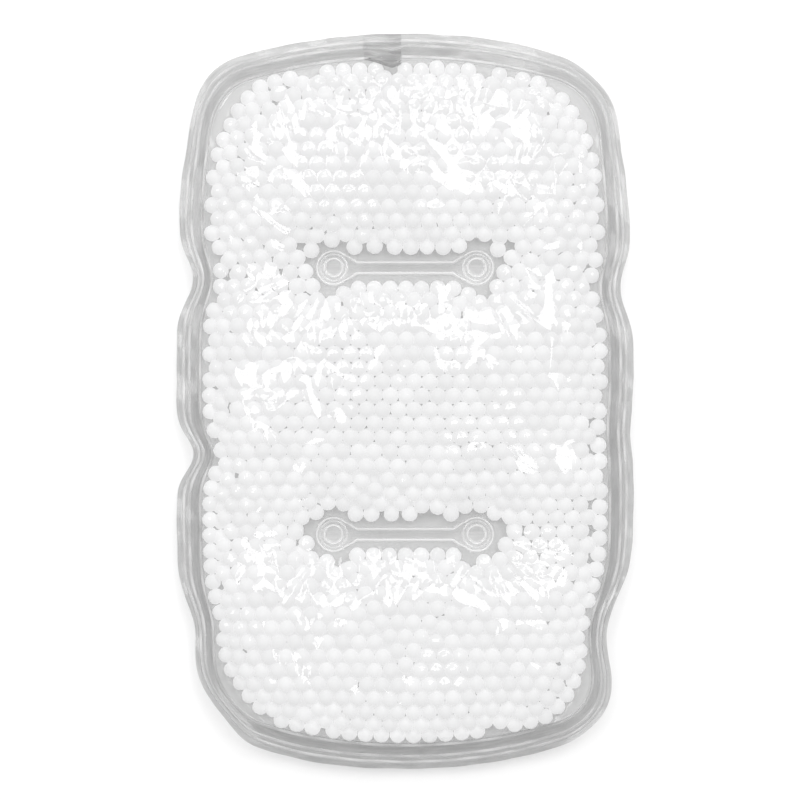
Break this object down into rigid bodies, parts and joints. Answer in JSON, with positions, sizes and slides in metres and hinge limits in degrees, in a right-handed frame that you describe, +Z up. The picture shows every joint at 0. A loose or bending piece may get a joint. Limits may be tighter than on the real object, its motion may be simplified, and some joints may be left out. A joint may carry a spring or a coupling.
{
  "type": "eye pillow",
  "caption": "Flat rounded eye pillow: a clear welded film pouch filled with soft white gel beads, with short fold welds across it so that it bends to drape over the face or a limb.",
  "frame": {"origin": "on the resting surface, under the middle of the pack", "axes": "+X across the pack, +Y along it towards the fill port, +Z up through the front film"},
  "size_m": [0.118, 0.19, 0.0138],
  "materials": {
    "clear_film": "gloss",
    "smoke_film": "gloss",
    "fused_film": "gloss",
    "gel_beads": "satin"
  },
  "bodies": {
    "centre_panel": {"centre_front_film": "clear_film", "centre_back_film": "smoke_film", "centre_bead_fill": "gel_beads", "centre_edge_weld": "fused_film", "upper_fold_weld": "fused_film", "upper_fold_front_film": "clear_film", "upper_fold_back_film": "smoke_film", "upper_fold_bead_fill": "gel_beads", "upper_fold_edge_weld": "fused_film", "lower_fold_weld": "fused_film", "lower_fold_front_film": "clear_film", "lower_fold_back_film": "smoke_film", "lower_fold_bead_fill": "gel_beads", "lower_fold_edge_weld": "fused_film"},
    "upper_panel": {"upper_front_film": "clear_film", "upper_back_film": "smoke_film", "upper_bead_fill": "gel_beads", "upper_edge_weld": "fused_film", "fill_port_seal": "fused_film"},
    "lower_panel": {"lower_front_film": "clear_film", "lower_back_film": "smoke_film", "lower_bead_fill": "gel_beads", "lower_edge_weld": "fused_film"}
  },
  "joints": [
    {"name": "upper_fold", "type": "hinge", "parent": "centre_panel", "child": "upper_panel", "pos_m": [0, 0.0345, 0.0054], "axis": [1, 0, 0], "range_deg": [-90, 90], "deforming": ["upper_fold_weld", "upper_fold_front_film", "upper_fold_back_film", "upper_fold_bead_fill", "upper_fold_edge_weld"]},
    {"name": "lower_fold", "type": "hinge", "parent": "centre_panel", "child": "lower_panel", "pos_m": [0, -0.0345, 0.0054], "axis": [-1, 0, 0], "range_deg": [-90, 90], "deforming": ["lower_fold_weld", "lower_fold_front_film", "lower_fold_back_film", "lower_fold_bead_fill", "lower_fold_edge_weld"]}
  ]
}
